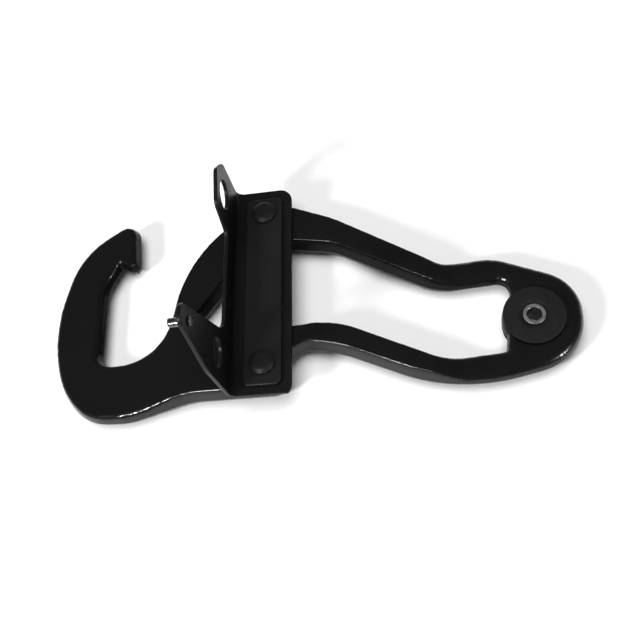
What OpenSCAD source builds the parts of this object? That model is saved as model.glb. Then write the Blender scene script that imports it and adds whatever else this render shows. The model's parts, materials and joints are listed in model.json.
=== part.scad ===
// Hook latch lever: a forged hook and fork with a rubber-bushed pivot eye,
// and a riveted angle bracket that carries two holed ears and a spring post.
// Frame: origin at the centre of the pivot bore, X from the hook to the eye,
// Z along the pivot bore, Z = 0 on the forging's parting plane.

/* [Pivot eye and bush] */
// bore of the steel sleeve, for an M10 bolt
sleeve_bore_d = 10.5; // [8:0.5:16]
// outside diameter of the steel sleeve
sleeve_d = 16; // [12:0.5:24]
// length of the steel sleeve
sleeve_l = 21.5; // [16:0.5:30]
// bore of the forged eye, filled by the rubber bush
eye_bore_d = 30; // [24:1:40]
// radius of the eye's rounded end in plan
eye_end_r = 38; // [34:1:40]
// diameter of the forged wall round the bore, on the window side
eye_wall_d = 39; // [36:1:50]
// diameter of the rubber flange
flange_d = 44; // [34:1:50]
// thickness of the rubber flange
flange_t = 4; // [2:0.5:5]
// radial clearance between sleeve and rubber
sleeve_gap = 0.05; // [0.02:0.01:0.1]

/* [Forging] */
// thickness of the forging at the eye
eye_t = 13; // [10:1:20]
// thickness of the forging's middle body and arms
body_t = 22; // [16:1:28]
// thickness of the hook
hook_t = 16; // [10:1:22]
// length of the slopes where the thickness changes
ramp_l = 20; // [10:1:40]

/* [Bracket] */
// sheet thickness of the bracket and of the backing strip
sheet_t = 3; // [2:0.5:5]
// overall width of the bracket's foot
bracket_w = 47; // [36:1:60]
// inside radius of the bend
bend_r = 6; // [3:1:10]
// radius of the foot's two free corners
foot_corner_r = 10; // [2:1:16]
// height of the upright flange above the forging
flange_h = 25; // [15:1:40]
// height of the upper ear above the forging
upper_ear_h = 60; // [40:1:90]
// height of the lower ear above the forging
lower_ear_h = 116; // [80:1:140]
// diameter of the hole in each ear
ear_hole_d = 22; // [12:1:26]
// height of the ear holes above the forging
ear_hole_h = 39; // [30:1:50]
// width of the backing strip
strip_w = 28.5; // [20:0.5:32]
// radius of the backing strip's corners
strip_corner_r = 5; // [1:1:10]

/* [Rivets and spring post] */
// shank diameter of the rivets
rivet_d = 10; // [6:1:14]
// head diameter of the rivets
rivet_head_d = 19; // [12:0.5:24]
// height of the rivets' heads
rivet_head_h = 4.5; // [3:0.5:8]
// height of the straight edge of the rivets' heads
rivet_edge_h = 1.5; // [0.5:0.5:2.5]
// diameter of the flat on top of the rivets' heads
rivet_flat_d = 12; // [4:0.5:12]
// depth of the countersunk rivet tails
rivet_tail_h = 3; // [2:0.5:5]
// diameter of the spring post
post_d = 6; // [5.5:0.5:8]
// length of the spring post beyond the ear
post_l = 10; // [5:0.5:15]
// diameter of the post's seat in the ear
post_seat_d = 5; // [3:0.5:5]
// diameter of the post's collar
post_collar_d = 8; // [8:0.5:11]

/* [Hidden] */
$fn = 96;
eps = 0.5;
// steps along each rounded corner
corner_steps = 12;

body_top = body_t / 2;
eye_top = eye_t / 2;
hook_top = hook_t / 2;

// plan outline of the forging: [x, y, corner radius], from the hook's tip round the hook
// to the lower arm and the eye, and back along the upper arm and the throat
outline = [
    [-306.5, 116, 7], [-349, 90, 62], [-365, 20.5, 124], [-350, -29, 65], [-328, -51, 33],
    [-298, -52, 54], [-252, -39, 70], [-181.5, -39, 9], [-175.5, -2.5, 16.5], [-138.5, -10, 110],
    [-56.5, -48, 130], [30, -30, eye_end_r], [32, 24.5, eye_end_r - 7.5], [-23.5, 49, 37],
    [-62, 47.5, 18], [-141.5, 98, 99], [-194, 121, 35], [-257, 78, 105], [-273, -11, 44],
    [-329, -12.5, 15], [-330.5, 60, 35], [-317, 83, 6], [-302.5, 74, 2]
];

// plan outline of the window between the two arms
window = [
    [-9, 35, 12], [-64.5, 32, 46.5], [-142, 76, 46.5], [-202, 86, 11.5],
    [-251, 22, 9], [-236, 4, 15.5], [-143, 10, 71], [-63.5, -29, 48.5], [-19, -26, 4.5]
];

// x of the start of each thickness slope
hook_ramp_x = -284;
eye_ramp_x = -72;
far_x = 400;

// bracket
bracket_x = -220;
bracket_south = -46.5;
bracket_north = 127;
bracket_top = body_top + sheet_t;
upper_hole_y = 103;
lower_hole_y = -26;
hole_z = body_top + ear_hole_h;
bracket_profile_h = lower_ear_h + 2 * eps;

// side outline of the bracket's upright: [y, z, corner radius]
upright = [
    [bracket_north, body_top - eps, 0],
    [bracket_north, body_top + upper_ear_h - 14, 9],
    [bracket_north - 15, body_top + upper_ear_h, 7],
    [bracket_north - 42, body_top + upper_ear_h - 5, 8],
    [bracket_north - 50, body_top + flange_h, 8],
    [-3.5, body_top + flange_h, 14],
    [-25, body_top + lower_ear_h, 8],
    [-38.5, body_top + lower_ear_h, 7],
    [bracket_south - 1, body_top + lower_ear_h / 2, 60],
    [bracket_south + 1, body_top - eps, 0]
];

// backing strip
strip_x = -208.5;
strip_south = -39.5;
strip_north = 118;
strip_top = bracket_top + sheet_t;

// rivets and spring post
rivet_x = strip_x + strip_w / 2;
rivet_ys = [104.5, -22.5];
post_y = -31.5;
post_z = body_top + 101;

// ---- outline helpers ----

// direction from a to b as a unit vector
function toward(a, b) = (b - a) / norm(b - a);

// points of one corner p with radius r, between its neighbours a and b
function corner(a, p, b, r) =
    let (u = toward(p, a))
    let (v = toward(p, b))
    let (half = acos(u * v) / 2)
    let (m = p + toward([0, 0], u + v) * r / sin(half))
    let (s = p + u * r / tan(half))
    let (e = p + v * r / tan(half))
    let (a0 = atan2(s[1] - m[1], s[0] - m[0]))
    let (a1 = atan2(e[1] - m[1], e[0] - m[0]))
    let (turn = a1 - a0 > 180 ? a1 - a0 - 360 : a1 - a0 < -180 ? a1 - a0 + 360 : a1 - a0)
    r == 0 ? [p] : [for (i = [0 : corner_steps]) m + r * [cos(a0 + turn * i / corner_steps),
                                                          sin(a0 + turn * i / corner_steps)]];

// all points of a closed outline of [x, y, radius] corners
function rounded(c) =
    let (n = len(c))
    let (xy = [for (k = c) [k[0], k[1]]])
    [for (i = [0 : n - 1]) each corner(xy[(i + n - 1) % n], xy[i], xy[(i + 1) % n], c[i][2])];

// a rectangle with rounded corners, given by its lower left corner and size
module rounded_plate(x, y, w, l, h, r_left, r_right) {
    linear_extrude(h)
        polygon(rounded([[x, y, r_left], [x + w, y, r_right], [x + w, y + l, r_right], [x, y + l, r_left]]));
}

// ---- forging ----

// side profile of the forging: thin at the hook and the eye, thick in the middle
module thickness_profile() {
    half = [
        [-far_x, hook_top], [hook_ramp_x, hook_top], [hook_ramp_x + ramp_l, body_top],
        [eye_ramp_x, body_top], [eye_ramp_x + ramp_l, eye_top], [far_x / 4, eye_top]
    ];
    below = [for (i = [len(half) - 1 : -1 : 0]) [half[i][0], -half[i][1]]];
    polygon(concat(half, below));
}

// everything inside the side profile, as a bar across the part
module thickness_bar() {
    translate([0, far_x / 2, 0])
        rotate([90, 0, 0])
            linear_extrude(far_x)
                thickness_profile();
}

// the plan outline, before the window is cut
module plan_blank() {
    translate([0, 0, -body_top])
        linear_extrude(body_t)
            polygon(rounded(outline));
}

// the window, leaving the eye's wall standing
module window_cut() {
    difference() {
        translate([0, 0, -body_t])
            linear_extrude(2 * body_t)
                polygon(rounded(window));
        translate([0, 0, -body_t - eps])
            cylinder(d = eye_wall_d, h = 2 * (body_t + eps));
    }
}

module forging() {
    color("#1b1c1e")
        difference() {
            intersection() {
                plan_blank();
                thickness_bar();
            }
            window_cut();
            translate([0, 0, -body_t])
                cylinder(d = eye_bore_d, h = 2 * body_t);
            rivet_holes(-body_top - eps, body_top + eps);
            rivet_tails(-body_top);
        }
}

// ---- bracket and backing strip ----

// cross-section of the angle in X and Z, with its rounded bend
module angle_section() {
    outer_r = bend_r + sheet_t;
    x0 = bracket_x;
    x1 = bracket_x + bracket_w;
    z0 = body_top;
    z1 = body_top + bracket_profile_h;
    polygon(rounded([
        [x0, z0, outer_r], [x1, z0, 0], [x1, z0 + sheet_t, 0],
        [x0 + sheet_t, z0 + sheet_t, bend_r], [x0 + sheet_t, z1, 0], [x0, z1, 0]
    ]));
}

// the angle's section drawn along the part
module angle_bar() {
    translate([0, bracket_north + eps, 0])
        rotate([90, 0, 0])
            linear_extrude(bracket_north - bracket_south + 4 * eps)
                angle_section();
}

// the side outline of flange and ears, as a bar across the foot
module upright_bar() {
    translate([bracket_x - eps, 0, 0])
        rotate([90, 0, 90])
            linear_extrude(bracket_w + 2 * eps)
                polygon(rounded(upright));
}

module bracket() {
    color("#17181a")
        difference() {
            intersection() {
                angle_bar();
                upright_bar();
                rounded_plate(bracket_x - eps, bracket_south - 2, bracket_w + eps,
                              bracket_north - bracket_south + 2, bracket_profile_h + 2 * body_t,
                              0, foot_corner_r);
            }
            ear_hole(upper_hole_y);
            ear_hole(lower_hole_y);
            rivet_holes(body_top - eps, bracket_top + eps);
            translate([bracket_x - eps, post_y, post_z])
                rotate([0, 90, 0])
                    cylinder(d = post_seat_d, h = sheet_t + 2 * eps);
        }
}

module ear_hole(y) {
    translate([bracket_x - eps, y, hole_z])
        rotate([0, 90, 0])
            cylinder(d = ear_hole_d, h = sheet_t + 2 * eps);
}

module backing_strip() {
    color("#17181a")
        difference() {
            translate([0, 0, bracket_top])
                rounded_plate(strip_x, strip_south, strip_w, strip_north - strip_south,
                              sheet_t, strip_corner_r, strip_corner_r);
            rivet_holes(bracket_top - eps, strip_top + eps);
        }
}

// ---- rivets and spring post ----

module rivet_holes(z0, z1) {
    for (y = rivet_ys)
        translate([rivet_x, y, z0])
            cylinder(d = rivet_d, h = z1 - z0);
}

// countersunk rivet tails that end flush at height z
module rivet_tails(z) {
    for (y = rivet_ys)
        translate([rivet_x, y, z])
            cylinder(d1 = rivet_d + 2 * rivet_tail_h, d2 = rivet_d, h = rivet_tail_h);
}

// a low pan head: a straight edge, a slope and a flat top
module rivet_head() {
    cylinder(d = rivet_head_d, h = rivet_edge_h);
    translate([0, 0, rivet_edge_h])
        cylinder(d1 = rivet_head_d, d2 = rivet_flat_d, h = rivet_head_h - rivet_edge_h);
}

module rivets() {
    color("#1a1b1d") {
        for (y = rivet_ys)
            translate([rivet_x, y, 0]) {
                translate([0, 0, -body_top])
                    cylinder(d = rivet_d, h = strip_top + body_top);
                translate([0, 0, strip_top])
                    rivet_head();
            }
        rivet_tails(-body_top);
    }
}

module spring_post() {
    tail_d = 1.6 * post_seat_d;
    tail_h = 1.5;
    collar_h = 1.2;
    chamfer = 0.7;
    color("#3a3b3d")
        translate([bracket_x, post_y, post_z])
            rotate([0, -90, 0]) {
                translate([0, 0, -sheet_t])
                    cylinder(d = post_seat_d, h = sheet_t);
                cylinder(d = post_collar_d, h = collar_h);
                translate([0, 0, collar_h])
                    cylinder(d = post_d, h = post_l - chamfer - collar_h);
                translate([0, 0, post_l - chamfer])
                    cylinder(d1 = post_d, d2 = post_d - 2 * chamfer, h = chamfer);
                translate([0, 0, -sheet_t - tail_h])
                    cylinder(d1 = post_seat_d, d2 = tail_d, h = tail_h);
            }
}

// ---- bush ----

// one half of the rubber bush: a plug in the eye with a flange on its face
module bush_half() {
    lip = 1;
    bore_r = sleeve_d / 2 + sleeve_gap;
    rotate_extrude()
        polygon([
            [bore_r, 0], [eye_bore_d / 2, 0], [eye_bore_d / 2, eye_top], [flange_d / 2, eye_top],
            [flange_d / 2, eye_top + flange_t - lip], [flange_d / 2 - lip, eye_top + flange_t],
            [bore_r, eye_top + flange_t]
        ]);
}

module bush_upper() {
    color("#2b2c2d")
        bush_half();
}

module bush_lower() {
    color("#2b2c2d")
        mirror([0, 0, 1])
            bush_half();
}

module bush_sleeve() {
    color("#8d8f91")
        difference() {
            translate([0, 0, -sleeve_l / 2])
                cylinder(d = sleeve_d, h = sleeve_l);
            translate([0, 0, -sleeve_l / 2 - eps])
                cylinder(d = sleeve_bore_d, h = sleeve_l + 2 * eps);
        }
}

forging();
bracket();
backing_strip();
rivets();
bush_upper();
bush_lower();
bush_sleeve();
spring_post();
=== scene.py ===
import json
import math

import bmesh
import bpy
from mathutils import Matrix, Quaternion, Vector
from mathutils.bvhtree import BVHTree


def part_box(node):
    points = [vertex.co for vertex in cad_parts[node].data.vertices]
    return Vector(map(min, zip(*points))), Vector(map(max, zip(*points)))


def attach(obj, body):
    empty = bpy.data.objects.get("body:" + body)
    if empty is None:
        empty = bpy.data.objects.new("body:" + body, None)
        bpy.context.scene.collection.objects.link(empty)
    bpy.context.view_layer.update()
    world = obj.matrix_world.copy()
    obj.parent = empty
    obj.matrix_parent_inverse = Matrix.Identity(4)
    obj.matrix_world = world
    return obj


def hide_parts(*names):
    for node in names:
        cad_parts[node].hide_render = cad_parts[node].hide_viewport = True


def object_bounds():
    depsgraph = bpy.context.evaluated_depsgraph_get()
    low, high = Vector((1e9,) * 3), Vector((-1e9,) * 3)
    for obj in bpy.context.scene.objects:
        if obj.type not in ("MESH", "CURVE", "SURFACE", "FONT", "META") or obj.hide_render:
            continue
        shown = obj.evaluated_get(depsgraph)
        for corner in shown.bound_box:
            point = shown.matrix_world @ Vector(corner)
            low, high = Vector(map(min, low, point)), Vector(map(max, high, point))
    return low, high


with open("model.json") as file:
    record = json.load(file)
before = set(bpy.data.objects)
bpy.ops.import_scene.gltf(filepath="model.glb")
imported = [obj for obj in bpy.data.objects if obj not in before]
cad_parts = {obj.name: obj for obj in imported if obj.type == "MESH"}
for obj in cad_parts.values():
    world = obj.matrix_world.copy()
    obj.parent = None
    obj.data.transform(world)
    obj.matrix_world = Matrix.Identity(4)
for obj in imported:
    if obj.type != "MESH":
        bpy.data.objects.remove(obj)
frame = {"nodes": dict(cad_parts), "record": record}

CAD_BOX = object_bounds()
MM = 0.001                # one millimetre in metres

# Radii that the looks take over from the design.
PLUG_R = 15 * MM          # the eye's bore, filled by the rubber's plug
SLEEVE_BORE_R = 5.25 * MM
RIVET_R = 5 * MM          # a rivet's shank
TAIL_R = 8 * MM           # a rivet's countersunk tail

# Rounded edges.
SHARP = (35, 145)         # the angles of the edges that are rounded, in degrees
SHEET_EDGE = 0.7 * MM     # rounding along the sheet's punched edges
STRIP_EDGE = 1.2 * MM     # rounding along the backing strip's edges
FLAT_STEP = math.radians(0.2)  # faces that meet at less than this become one
FLAT_WEIGHT = 80          # how strongly large faces even out the shading normals

# The forging's skin.
SKIN_GRID = 1.1 * MM      # its mesh size
SOFTENING = 14            # smoothing passes that round the edges
SOFT_STEP = 0.5           # how far one pass moves a vertex towards its neighbours' mean
DRAFT = 3.0 * MM          # how far the sides lean out to the parting line
DRAFT_CUTOFF = 1.3        # above 1, so that nearly level faces don't lean
THROAT_DRAFT = 2.4 * MM   # what the throat's wall leans out on top of that
THROAT_EAST = -305 * MM   # the throat's wall lies west of this x
THROAT_FLOOR = -10 * MM   # y of the throat's floor
THROAT_TIP = 88 * MM      # y of the tip's underside
THROAT_FADE = 14 * MM     # length over which the extra lean fades in and out
FLASH = 0.35 * MM         # height of the trimmed flash on the parting line
FLASH_HALF = 1.0 * MM     # half its width

# Walls that face another wall, which take less light. Their lower specular level is painted shade that
# darkens their reflections.
SHELTERED = "sheltered"   # vertex attribute: 1 on such walls, 0 elsewhere
REACH = 130 * MM          # how near the wall across must be
RAY_START = 2 * MM        # the ray towards it starts this far off the wall
WALL_TILT = 0.5           # a wall's normal rises less than this
BLUR_PASSES = 3           # smoothing passes over the attribute's edges


# ---------------------------------------------------------------- mesh helpers

def mesh_of(node):
    """A bmesh of a CAD node, welded, with its flat faces whole again."""
    bm = bmesh.new()
    bm.from_mesh(frame["nodes"][node].data)
    bmesh.ops.remove_doubles(bm, verts=bm.verts[:], dist=0.002 * MM)
    bmesh.ops.dissolve_limit(bm, angle_limit=FLAT_STEP, verts=bm.verts[:], edges=bm.edges[:])
    bm.normal_update()
    return bm


def sharp_edges(bm, above=-math.inf):
    """Edges above a height whose two faces meet at one of the SHARP angles."""
    low, high = SHARP
    found = []
    for edge in bm.edges:
        if len(edge.link_faces) == 2 and all(vert.co.z > above for vert in edge.verts):
            angle = math.degrees(edge.calc_face_angle(0))
            if low < angle < high:
                found.append(edge)
    return found


def round_off(bm, edges, width, steps):
    """Rounds edges by a bevel of the given width."""
    bmesh.ops.bevel(bm, geom=edges, offset=width, offset_type="OFFSET", segments=steps,
                    profile=0.5, affect="EDGES", clamp_overlap=False)
    bm.normal_update()


def piece_from(bm, name, node, material):
    """Turns a bmesh into a smooth-shaded piece that stands for a CAD node."""
    mesh = bpy.data.meshes.new(name)
    bm.to_mesh(mesh)
    bm.free()
    for polygon in mesh.polygons:
        polygon.use_smooth = True
    piece = bpy.data.objects.new(name, mesh)
    bpy.context.scene.collection.objects.link(piece)
    mesh.materials.append(material)
    normals = piece.modifiers.new("even normals", "WEIGHTED_NORMAL")
    normals.keep_sharp = True
    normals.weight = FLAT_WEIGHT
    record = frame["record"]
    body = next(b for b, nodes in record["behaviour"]["bodies"].items() if node in nodes)
    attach(piece, body)
    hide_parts(node)
    return piece


def upright(x=0.0, y=0.0, up=1):
    """Places a lathe's points about a vertical axis; up=-1 turns the profile upside down."""
    return lambda r, a, h: Vector((x + r * math.cos(a), y + r * math.sin(a), h * up))


def lathe(bm, profile, place, turns):
    """Revolves a closed profile of (radius, height) points; place puts a point in space."""
    rings = []
    for step in range(turns):
        angle = 2 * math.pi * step / turns
        rings.append([bm.verts.new(place(r, angle, h)) for r, h in profile])
    count = len(profile)
    for step in range(turns):
        here, after = rings[step], rings[(step + 1) % turns]
        for k in range(count):
            j = (k + 1) % count
            bm.faces.new((here[k], after[k], after[j], here[j]))
    bmesh.ops.remove_doubles(bm, verts=bm.verts[:], dist=0.001 * MM)
    bmesh.ops.recalc_face_normals(bm, faces=bm.faces[:])


def rounded(points, steps=5):
    """Replaces each profile point (r, h, radius) by an arc of that radius."""
    result = []
    count = len(points)
    for k, (r, h, radius) in enumerate(points):
        p = Vector((r, h))
        if radius == 0:
            result.append((r, h))
            continue
        before = (Vector(points[k - 1][:2]) - p).normalized()
        after = (Vector(points[(k + 1) % count][:2]) - p).normalized()
        half = before.angle(after) / 2
        start = p + before * radius / math.tan(half)
        end = p + after * radius / math.tan(half)
        centre = p + (before + after).normalized() * radius / math.sin(half)
        for i in range(steps + 1):
            t = i / steps
            chord = start.lerp(end, t) - centre
            point = centre + chord.normalized() * radius
            result.append((point.x, point.y))
    return result


# ---------------------------------------------------------------- materials

class Nodes:
    """A small helper that adds and links shader nodes."""

    def __init__(self, name):
        self.material = bpy.data.materials.new(name)
        self.material.use_nodes = True
        self.tree = self.material.node_tree
        self.shader = self.tree.nodes["Principled BSDF"]
        self.coordinates = self.add("ShaderNodeTexCoord")
        self.place = self.coordinates.outputs["Object"]

    def add(self, kind, **settings):
        node = self.tree.nodes.new(kind)
        for key, value in settings.items():
            setattr(node, key, value)
        return node

    def link(self, source, target):
        self.tree.links.new(source, target)

    def noise(self, size, detail=3.0):
        """Noise with features about size metres across."""
        node = self.add("ShaderNodeTexNoise")
        node.inputs["Scale"].default_value = 1 / size
        node.inputs["Detail"].default_value = detail
        node.inputs["Roughness"].default_value = 0.55
        self.link(self.place, node.inputs["Vector"])
        return node.outputs["Fac"]

    def ramp(self, source, low, high, at=(0.35, 0.65)):
        """Maps source to a grey or a colour between low and high."""
        node = self.add("ShaderNodeValToRGB")
        for element, place, value in zip(node.color_ramp.elements, at, (low, high)):
            element.position = place
            element.color = (*value, 1) if hasattr(value, "__len__") else (value, value, value, 1)
        self.link(source, node.inputs["Fac"])
        return node.outputs["Color"]

    def mix(self, factor, first, second):
        """The first colour where factor is low, the second where it is high."""
        node = self.add("ShaderNodeMix", data_type="RGBA")
        self.link(factor, node.inputs["Factor"])
        self.link(first, node.inputs["A"])
        self.link(second, node.inputs["B"])
        return node.outputs["Result"]

    def bump(self, source, depth, before=None):
        """Relief of the given depth in metres, on top of an earlier bump."""
        node = self.add("ShaderNodeBump")
        node.inputs["Strength"].default_value = 1.0
        node.inputs["Distance"].default_value = depth
        self.link(source, node.inputs["Height"])
        if before:
            self.link(before, node.inputs["Normal"])
        return node.outputs["Normal"]

    def level_faces(self):
        """High on faces square to the part's Z axis, low on upright walls."""
        split = self.add("ShaderNodeSeparateXYZ")
        self.link(self.coordinates.outputs["Normal"], split.inputs["Vector"])
        size = self.add("ShaderNodeMath", operation="ABSOLUTE")
        self.link(split.outputs["Z"], size.inputs[0])
        return self.ramp(size.outputs["Value"], 0.0, 1.0, at=(0.5, 0.7))

    def worn(self):
        """High on convex edges, where paint thins."""
        geometry = self.add("ShaderNodeNewGeometry")
        return self.ramp(geometry.outputs["Pointiness"], 0.0, 1.0, at=(0.52, 0.62))


def scaled(tone, factor):
    return tuple(channel * factor for channel in tone)


def black_coat(name, peel, waves, rough, tone, shine, shaded_shine=None):
    """Black coat over steel: peel and waves are the depths of its fine and broad relief.

    shine is the specular level of open faces; walls that face another wall get a lower level, painted
    shade that darkens their reflections.
    """
    n = Nodes(name)
    specular = n.shader.inputs["Specular IOR Level"]
    if shaded_shine is None:
        specular.default_value = shine
    else:
        sheltered = n.add("ShaderNodeAttribute", attribute_name=SHELTERED).outputs["Fac"]
        # Painted shade: a lower specular level darkens the reflections of walls that face another wall.
        n.link(n.ramp(sheltered, shine, shaded_shine, at=(0.0, 1.0)), specular)
    paint = n.ramp(n.noise(30 * MM, detail=4), scaled(tone, 0.94), scaled(tone, 1.08))
    thin_paint = n.ramp(n.noise(3 * MM), tone, scaled(tone, 2.2))
    n.link(n.mix(n.worn(), paint, thin_paint), n.shader.inputs["Base Color"])
    n.link(n.ramp(n.noise(12 * MM, detail=5), rough * 0.88, rough * 1.15), n.shader.inputs["Roughness"])
    broad = n.bump(n.noise(16 * MM, detail=2), waves)
    n.link(n.bump(n.noise(1.4 * MM, detail=2), peel, before=broad), n.shader.inputs["Normal"])
    return n.material


def moulded_rubber():
    """Matt black rubber with a faint bloom and a moulded grain."""
    n = Nodes("bush rubber")
    n.shader.inputs["Specular IOR Level"].default_value = 0.18
    bloom = n.ramp(n.noise(7 * MM, detail=6), (0.0076, 0.0076, 0.0078), (0.0092, 0.0093, 0.0094))
    n.link(bloom, n.shader.inputs["Base Color"])
    n.link(n.ramp(n.noise(2 * MM, detail=4), 0.62, 0.8), n.shader.inputs["Roughness"])
    broad = n.bump(n.noise(5 * MM, detail=3), 0.12 * MM)
    n.link(n.bump(n.noise(0.45 * MM, detail=2), 0.04 * MM, before=broad), n.shader.inputs["Normal"])
    return n.material


def turned_steel():
    """Lighter on the flat ends of the sleeve, a painted sheen that stands in for reflected light;
    darker on its round faces.
    """
    n = Nodes("sleeve steel")
    n.shader.inputs["Metallic"].default_value = 0.5
    # Painted sheen: the flat ends get a lighter colour in place of the light they would reflect.
    painted_sheen = n.ramp(n.noise(4 * MM, detail=6), (0.12, 0.12, 0.123), (0.20, 0.20, 0.20))
    dark = n.ramp(n.noise(3 * MM, detail=5), (0.018, 0.018, 0.019), (0.040, 0.040, 0.040))
    n.link(n.mix(n.level_faces(), dark, painted_sheen), n.shader.inputs["Base Color"])
    n.link(n.ramp(n.noise(1.5 * MM, detail=5), 0.32, 0.5), n.shader.inputs["Roughness"])
    turning = n.add("ShaderNodeTexWave", wave_type="RINGS", rings_direction="Z")
    turning.inputs["Scale"].default_value = 1.0 / (2.2 * MM)
    turning.inputs["Distortion"].default_value = 0.6
    n.link(n.place, turning.inputs["Vector"])
    fine = n.bump(turning.outputs["Fac"], 0.02 * MM)
    n.link(n.bump(n.noise(0.8 * MM, detail=3), 0.02 * MM, before=fine), n.shader.inputs["Normal"])
    return n.material


def plated_steel():
    """Thin bright zinc with a little staining, on the spring post."""
    n = Nodes("post steel")
    n.shader.inputs["Metallic"].default_value = 0.9
    n.link(n.ramp(n.noise(3 * MM, detail=5), (0.07, 0.07, 0.072), (0.15, 0.15, 0.15)),
           n.shader.inputs["Base Color"])
    n.link(n.ramp(n.noise(1.2 * MM, detail=4), 0.2, 0.34), n.shader.inputs["Roughness"])
    n.link(n.bump(n.noise(1.0 * MM, detail=3), 0.015 * MM), n.shader.inputs["Normal"])
    return n.material


def make_materials():
    """One material for each kind of surface, by a short name."""
    return {
        # The forging's walls that face another wall get painted shade through a lower specular level.
        "forging": black_coat("forging coat", peel=0.004 * MM, waves=0.16 * MM, rough=0.20,
                              tone=(0.0046, 0.0046, 0.0048), shine=0.36, shaded_shine=0.11),
        "sheet": black_coat("sheet coat", peel=0.001 * MM, waves=0.05 * MM, rough=0.34,
                            tone=(0.0062, 0.0062, 0.0065), shine=0.095),
        "strip": black_coat("strip coat", peel=0.001 * MM, waves=0.05 * MM, rough=0.34,
                            tone=(0.0094, 0.0094, 0.0097), shine=0.12),
        "rivet": black_coat("rivet coat", peel=0.004 * MM, waves=0.08 * MM, rough=0.50,
                            tone=(0.0086, 0.0086, 0.0089), shine=0.16),
        "post": plated_steel(),
        "rubber": moulded_rubber(),
        "steel": turned_steel(),
    }


# ---------------------------------------------------------------- forged lever

def rivet_centres():
    """The plan centres of the two rivets, from the box that holds them."""
    low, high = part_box("rivets")
    head_r = (high.x - low.x) / 2
    x = (low.x + high.x) / 2
    return [Vector((x, low.y + head_r)), Vector((x, high.y - head_r))]


def cylinder(bm, centre, profile, turns):
    """A closed solid of revolution about a vertical axis through centre."""
    lathe(bm, profile, upright(centre.x, centre.y), turns)


def helper(bm, name):
    """An object for modifiers to work on, deleted once its mesh is taken over."""
    mesh = bpy.data.meshes.new(name)
    bm.to_mesh(mesh)
    bm.free()
    piece = bpy.data.objects.new(name, mesh)
    bpy.context.scene.collection.objects.link(piece)
    return piece


def apply_modifiers(piece):
    """Replaces a helper's mesh by the result of its modifiers."""
    bpy.context.view_layer.update()
    graph = bpy.context.evaluated_depsgraph_get()
    mesh = bpy.data.meshes.new_from_object(piece.evaluated_get(graph))
    piece.modifiers.clear()
    old = piece.data
    piece.data = mesh
    bpy.data.meshes.remove(old)


def solid_blank():
    """The forging without its bores, so that smoothing can't touch them."""
    bm = mesh_of("forging")
    margin = 1 * MM
    spots = [(c, TAIL_R + margin) for c in rivet_centres()] + [(Vector((0, 0)), PLUG_R + margin)]
    inside = [f for f in bm.faces
              if any(all((v.co.xy - c).length < r for v in f.verts) for c, r in spots)]
    bmesh.ops.delete(bm, geom=inside, context="FACES")
    open_edges = [e for e in bm.edges if len(e.link_faces) == 1]
    bmesh.ops.holes_fill(bm, edges=open_edges)
    bmesh.ops.recalc_face_normals(bm, faces=bm.faces[:])
    return helper(bm, "blank")


def soften(piece):
    """A dense skin whose edges are rounded all over, as on a forging that was shot-blasted."""
    remesh = piece.modifiers.new("skin", "REMESH")
    remesh.mode = "VOXEL"
    remesh.voxel_size = SKIN_GRID
    remesh.adaptivity = 0
    smooth = piece.modifiers.new("soften", "SMOOTH")
    smooth.factor = SOFT_STEP
    smooth.iterations = SOFTENING
    apply_modifiers(piece)


def throat_share(place, normal):
    """How far a vertex belongs to the wall of the hook's throat, from 0 to 1."""
    if place.x > THROAT_EAST or normal.x <= 0:
        return 0.0
    above_floor = (place.y - THROAT_FLOOR) / THROAT_FADE
    below_tip = (THROAT_TIP - place.y) / THROAT_FADE
    return normal.x * max(0.0, min(1.0, above_floor, below_tip))


def lean_out(mesh, half):
    """Adds draft to the sides: they lean out towards the parting line, where the flash was trimmed."""
    normals = [vert.normal.copy() for vert in mesh.vertices]
    for vert, normal in zip(mesh.vertices, normals):
        side = max(0.0, 1 - abs(normal.z) * DRAFT_CUTOFF)
        if side == 0:
            continue
        height = min(1.0, abs(vert.co.z) / half)
        flash = FLASH * max(0.0, 1 - abs(vert.co.z) / FLASH_HALF)
        out = Vector((normal.x, normal.y, 0)).normalized()
        draft = DRAFT + THROAT_DRAFT * throat_share(vert.co, normal)
        vert.co += out * side * (draft * (1 - height) + flash)


def cut_bores(piece):
    """Cuts the eye's bore and the rivet holes with their countersinks through the softened skin."""
    low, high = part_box("forging")
    depth = TAIL_R - RIVET_R
    past = 1 * MM
    bottom, top = low.z - past, high.z + past
    bore = [(0, bottom), (PLUG_R, bottom), (PLUG_R, top), (0, top)]
    countersunk = [(0, bottom), (TAIL_R + past, bottom), (RIVET_R, low.z + depth), (RIVET_R, top),
                   (0, top)]
    bm = bmesh.new()
    cylinder(bm, Vector((0, 0)), bore, turns=96)
    for centre in rivet_centres():
        cylinder(bm, centre, countersunk, turns=64)
    cutter = helper(bm, "cutter")
    cut = piece.modifiers.new("bores", "BOOLEAN")
    cut.operation = "DIFFERENCE"
    cut.solver = "EXACT"
    cut.object = cutter
    apply_modifiers(piece)
    bpy.data.objects.remove(cutter)


def mark_sheltered(mesh):
    """Marks the walls that face another wall, those of the window and of the hook's throat, where a
    lower shine paints shade into their reflections.
    """
    rays = BVHTree.FromPolygons([v.co for v in mesh.vertices], [p.vertices for p in mesh.polygons])
    values = []
    for vert in mesh.vertices:
        out = Vector((vert.normal.x, vert.normal.y, 0))
        wall = abs(vert.normal.z) < WALL_TILT
        out.normalize()
        hit = rays.ray_cast(vert.co + out * RAY_START, out, REACH)[0] if wall else None
        values.append(1.0 if hit else 0.0)
    for _ in range(BLUR_PASSES):
        totals = [[v, 1] for v in values]
        for edge in mesh.edges:
            a, b = edge.vertices
            totals[a][0] += values[b]
            totals[a][1] += 1
            totals[b][0] += values[a]
            totals[b][1] += 1
        values = [total / count for total, count in totals]
    layer = mesh.attributes.new(SHELTERED, "FLOAT", "POINT")
    layer.data.foreach_set("value", values)


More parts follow.
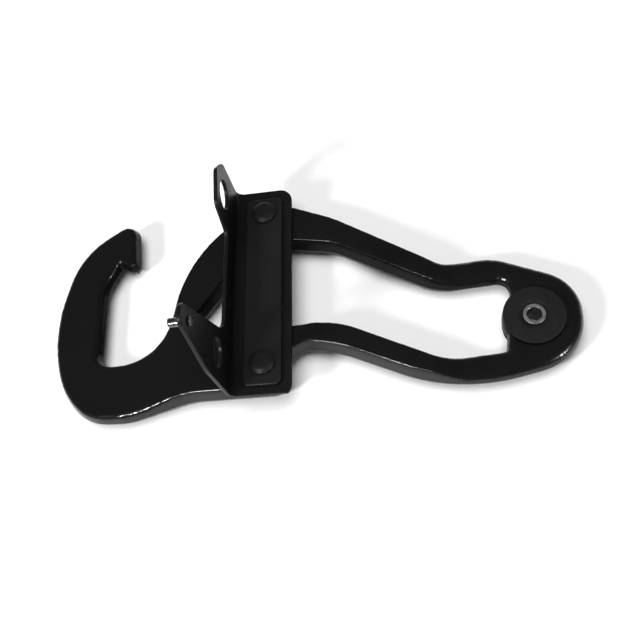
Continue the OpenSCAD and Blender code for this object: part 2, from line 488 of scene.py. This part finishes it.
def forging_piece(material):
    """The forging with softened edges, draft, a trimmed flash line and clean bores."""
    blank = solid_blank()
    soften(blank)
    lean_out(blank.data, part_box("forging")[1].z)
    mark_sheltered(blank.data)
    cut_bores(blank)
    bm = bmesh.new()
    bm.from_mesh(blank.data)
    bpy.data.objects.remove(blank)
    return piece_from(bm, "forged_lever", "forging", material)


# ---------------------------------------------------------------- bracket, strip and rivets

def bracket_piece(material):
    """The riveted angle bracket with rounded edges."""
    bm = mesh_of("bracket")
    round_off(bm, sharp_edges(bm), SHEET_EDGE, steps=2)
    return piece_from(bm, "angle_bracket", "bracket", material)


def strip_piece(material):
    """The backing strip, rounded everywhere but along the foot that it lies on."""
    bm = mesh_of("backing_strip")
    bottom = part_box("backing_strip")[0].z
    round_off(bm, sharp_edges(bm, above=bottom + 1 * MM), STRIP_EDGE, steps=3)
    return piece_from(bm, "strip", "backing_strip", material)


def rivet_profile(low, high, strip_top):
    """Half section of a set rivet, from the flush tail up to the low round head."""
    head_r = (high.x - low.x) / 2
    tail_h = TAIL_R - RIVET_R
    rim_h = 1.9 * MM
    slope = 3.2 * MM
    crown = 0.3 * MM
    return rounded([
        (0, low.z, 0), (TAIL_R, low.z, 0), (RIVET_R, low.z + tail_h, 0),
        (RIVET_R, strip_top, 0), (head_r, strip_top, 0.3 * MM),
        (head_r, strip_top + rim_h, 1.4 * MM), (head_r - slope, high.z - crown, 4 * MM),
        (0, high.z, 0)
    ])


def rivets_piece(material):
    """Both rivets, which share a node."""
    low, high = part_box("rivets")
    profile = rivet_profile(low, high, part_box("backing_strip")[1].z)
    bm = bmesh.new()
    for centre in rivet_centres():
        cylinder(bm, centre, profile, turns=72)
    return piece_from(bm, "set_rivets", "rivets", material)


# ---------------------------------------------------------------- bush, sleeve and post

def bush_piece(name, node, material):
    """One rubber half: a plug, and a flange with a soft rim and a shallow well round the sleeve."""
    low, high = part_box(node)
    up = 1 if high.z > -low.z else -1
    height = max(high.z, -low.z)
    rim_r = (high.x - low.x) / 2
    flange_h = 4 * MM
    undercut = 2.4 * MM
    well = 1.1 * MM
    gap = 0.05 * MM
    under = height - flange_h
    bore_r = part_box("bush_sleeve")[1].x + gap
    profile = rounded([
        (bore_r, 0, 0), (PLUG_R, 0, 0), (PLUG_R, under, 0), (rim_r - undercut, under, 0.5 * MM),
        (rim_r, under + 2.1 * MM, 0.8 * MM), (rim_r - 0.5 * MM, height - 0.3 * MM, 1.1 * MM),
        (rim_r - 8 * MM, height, 6 * MM), (bore_r + 3.4 * MM, height - 0.1 * MM, 1.5 * MM),
        (bore_r + 1.4 * MM, height - well, 0.6 * MM), (bore_r, height - well, 0)
    ])
    bm = bmesh.new()
    lathe(bm, profile, upright(up=up), turns=120)
    return piece_from(bm, name, node, material)


def sleeve_piece(material):
    """The steel sleeve, chamfered inside and outside at both ends."""
    low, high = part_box("bush_sleeve")
    bore, outer = SLEEVE_BORE_R, high.x
    chamfer = 0.5 * MM
    corners = [
        (bore + chamfer, low.z), (outer - chamfer, low.z), (outer, low.z + chamfer),
        (outer, high.z - chamfer), (outer - chamfer, high.z), (bore + chamfer, high.z),
        (bore, high.z - chamfer), (bore, low.z + chamfer)
    ]
    profile = rounded([(r, h, 0.1 * MM) for r, h in corners], steps=3)
    bm = bmesh.new()
    lathe(bm, profile, upright(), turns=96)
    return piece_from(bm, "turned_sleeve", "bush_sleeve", material)


def post_piece(material):
    """The spring post: riveted tail, seat, collar and a pin with a rounded nose."""
    low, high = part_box("spring_post")
    ear_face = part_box("bracket")[0].x
    y, z = (low.y + high.y) / 2, (low.z + high.z) / 2
    length = ear_face - low.x
    back = ear_face - high.x
    pin_r = 3.0 * MM
    seat_r = 2.5 * MM
    tail_r, tail_h = 3.9 * MM, 1.5 * MM
    collar_r, collar_h = 4.0 * MM, 1.2 * MM
    profile = rounded([
        (0, back, 0), (tail_r, back, 0.5 * MM), (seat_r, back + tail_h, 0), (seat_r, 0, 0),
        (collar_r, 0, 0), (collar_r, collar_h, 0.5 * MM), (pin_r, collar_h, 0),
        (pin_r, length, 0.8 * MM), (0, length, 0)
    ], steps=4)

    def lying(r, a, h):
        return Vector((ear_face - h, y + r * math.cos(a), z + r * math.sin(a)))

    bm = bmesh.new()
    lathe(bm, profile, lying, turns=48)
    return piece_from(bm, "post", "spring_post", material)


# ---------------------------------------------------------------- stage, light and camera

def make_floor():
    """A plain pale floor, a hair below the lever so that the two don't share a face."""
    height = CAD_BOX[0].z - 0.02 * MM
    bpy.ops.mesh.primitive_plane_add(size=12, location=(CAD_BOX[0].x / 2, 0, height))
    floor = bpy.context.active_object
    floor.name = "floor"
    n = Nodes("floor")
    n.link(n.ramp(n.noise(0.4), 0.86, 0.88), n.shader.inputs["Base Color"])
    n.shader.inputs["Roughness"].default_value = 0.7
    n.shader.inputs["Specular IOR Level"].default_value = 0.2
    floor.data.materials.append(n.material)


def area_light(name, place, aim, size, power, glossy=True, diffuse=True):
    """A round lamp: size is its diameter in metres, power is in watts."""
    data = bpy.data.lights.new(name, "AREA")
    data.shape = "DISK"
    data.size = size
    data.energy = power
    light = bpy.data.objects.new(name, data)
    light.location = place
    light.visible_glossy = glossy
    light.visible_diffuse = diffuse
    light.rotation_euler = (Vector(aim) - Vector(place)).to_track_quat("-Z", "Y").to_euler()
    bpy.context.scene.collection.objects.link(light)


def make_light():
    """Two lamps that light and cast shadows, and two that only show as highlights."""
    centre = (CAD_BOX[0] + CAD_BOX[1]) / 2
    overhead = centre + Vector((0, 0.2, 2.4))
    from_left = centre + Vector((-1.1, -0.82, 0.82))
    near_hook = Vector((-0.43, -0.45, 0.50))
    near_eye = Vector((0.70, -0.42, 0.45))
    area_light("overhead", overhead, centre, size=2.4, power=66, glossy=False)
    area_light("key", from_left, centre, size=0.34, power=24, glossy=False)
    area_light("left spark", near_hook, centre, size=0.09, power=5.0, diffuse=False)
    area_light("right spark", near_eye, centre, size=0.10, power=5.5, diffuse=False)


def make_world():
    """A dim grey studio: lighter at the horizon, darker overhead."""
    world = bpy.data.worlds.new("studio")
    bpy.context.scene.world = world
    world.use_nodes = True
    tree = world.node_tree
    where = tree.nodes.new("ShaderNodeTexCoord")
    split = tree.nodes.new("ShaderNodeSeparateXYZ")
    ramp = tree.nodes.new("ShaderNodeValToRGB")
    horizon, overhead = ramp.color_ramp.elements
    horizon.position = 0.0
    horizon.color = (0.32, 0.32, 0.32, 1)
    overhead.position = 0.6
    overhead.color = (0.09, 0.09, 0.09, 1)
    tree.links.new(where.outputs["Generated"], split.inputs["Vector"])
    tree.links.new(split.outputs["Z"], ramp.inputs["Fac"])
    tree.links.new(ramp.outputs["Color"], tree.nodes["Background"].inputs["Color"])
    tree.nodes["Background"].inputs["Strength"].default_value = 1.0


def make_camera():
    """Looks down on the lever from the side of the near ear, rolled so that the lever lies level."""
    aim = Vector((-152.4, 10.1, 11.0)) * MM
    distance = 587.1 * MM
    azimuth, elevation, roll = math.radians(-19.06), math.radians(62.82), math.radians(22.32)
    forward = Vector((math.sin(azimuth) * math.cos(elevation),
                      math.cos(azimuth) * math.cos(elevation), -math.sin(elevation)))
    data = bpy.data.cameras.new("camera")
    data.lens = 45
    data.sensor_width = 36
    camera = bpy.data.objects.new("camera", data)
    camera.location = aim - forward * distance
    camera.rotation_mode = "QUATERNION"
    camera.rotation_quaternion = Quaternion(forward, roll) @ forward.to_track_quat("-Z", "Y")
    bpy.context.scene.collection.objects.link(camera)
    bpy.context.scene.camera = camera


def main():
    bpy.context.scene.view_settings.view_transform = "Standard"
    materials = make_materials()
    make_camera()
    forging_piece(materials["forging"])
    bracket_piece(materials["sheet"])
    strip_piece(materials["strip"])
    rivets_piece(materials["rivet"])
    bush_piece("bush_top_half", "bush_upper", materials["rubber"])
    bush_piece("bush_bottom_half", "bush_lower", materials["rubber"])
    sleeve_piece(materials["steel"])
    post_piece(materials["post"])
    make_floor()
    make_light()
    make_world()


main()
